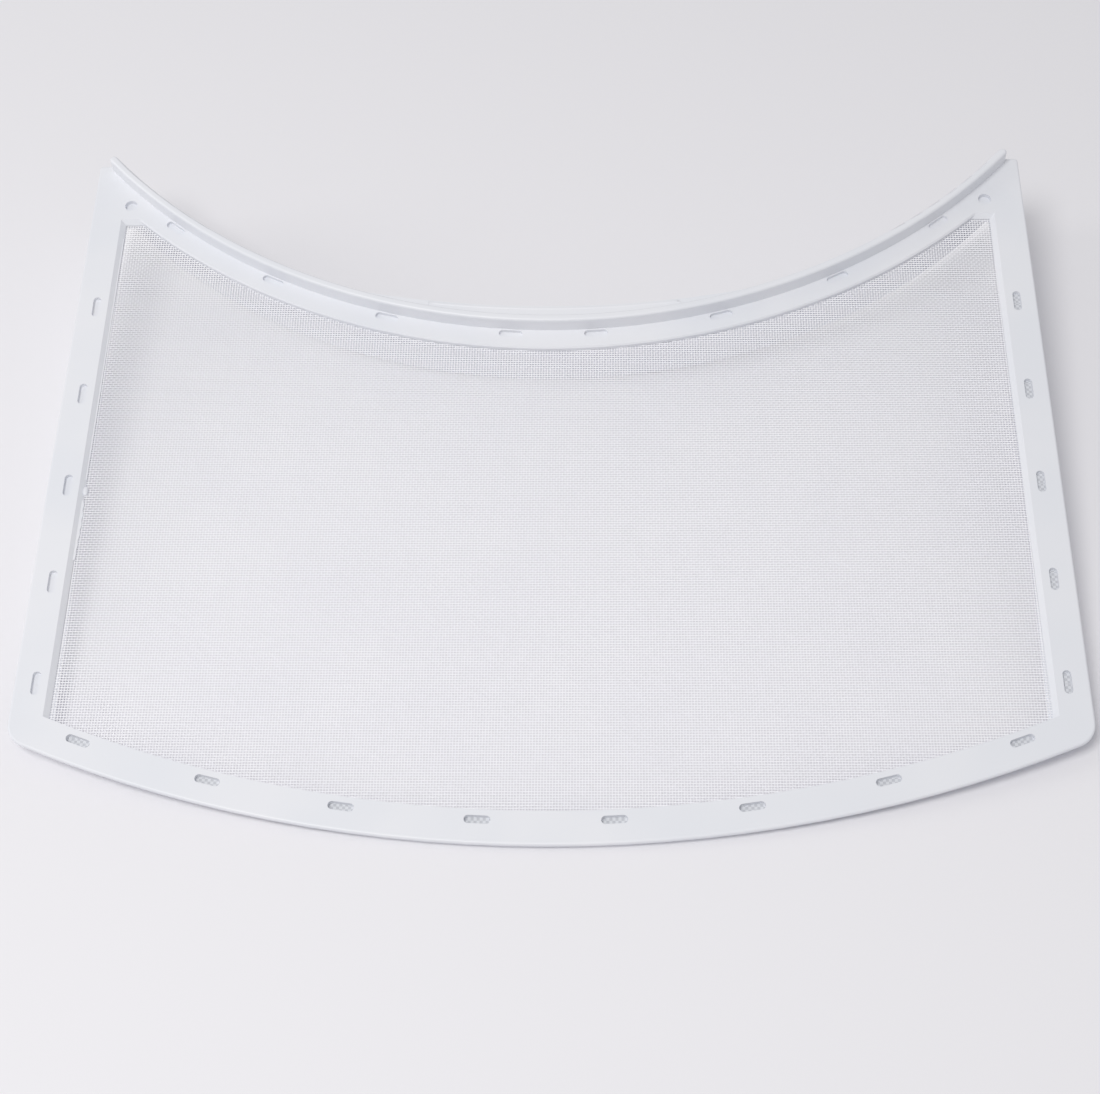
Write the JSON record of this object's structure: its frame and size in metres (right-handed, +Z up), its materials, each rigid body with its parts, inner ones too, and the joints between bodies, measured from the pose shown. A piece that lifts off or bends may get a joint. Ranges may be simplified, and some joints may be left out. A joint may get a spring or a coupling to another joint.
{
  "type": "tumble dryer lint filter",
  "caption": "Curved white plastic frame with a fine woven screen moulded into it and a raised finger lip at its concave edge, which catches lint in a dryer's air duct.",
  "frame": {"origin": "on the table, under the middle of the filter's box, with the filter lying on its lower edge and the foot of its skirt", "axes": "+X across the filter to the right, +Y from the convex lower edge towards the lip, +Z up from the table"},
  "size_m": [0.413, 0.3283, 0.0551],
  "materials": {
    "frame": "white injection-moulded plastic with a satin surface",
    "mesh_screen": "white plain-woven monofilament"
  },
  "bodies": {
    "root": {"frame": "frame", "mesh_screen": "mesh_screen"}
  },
  "joints": []
}
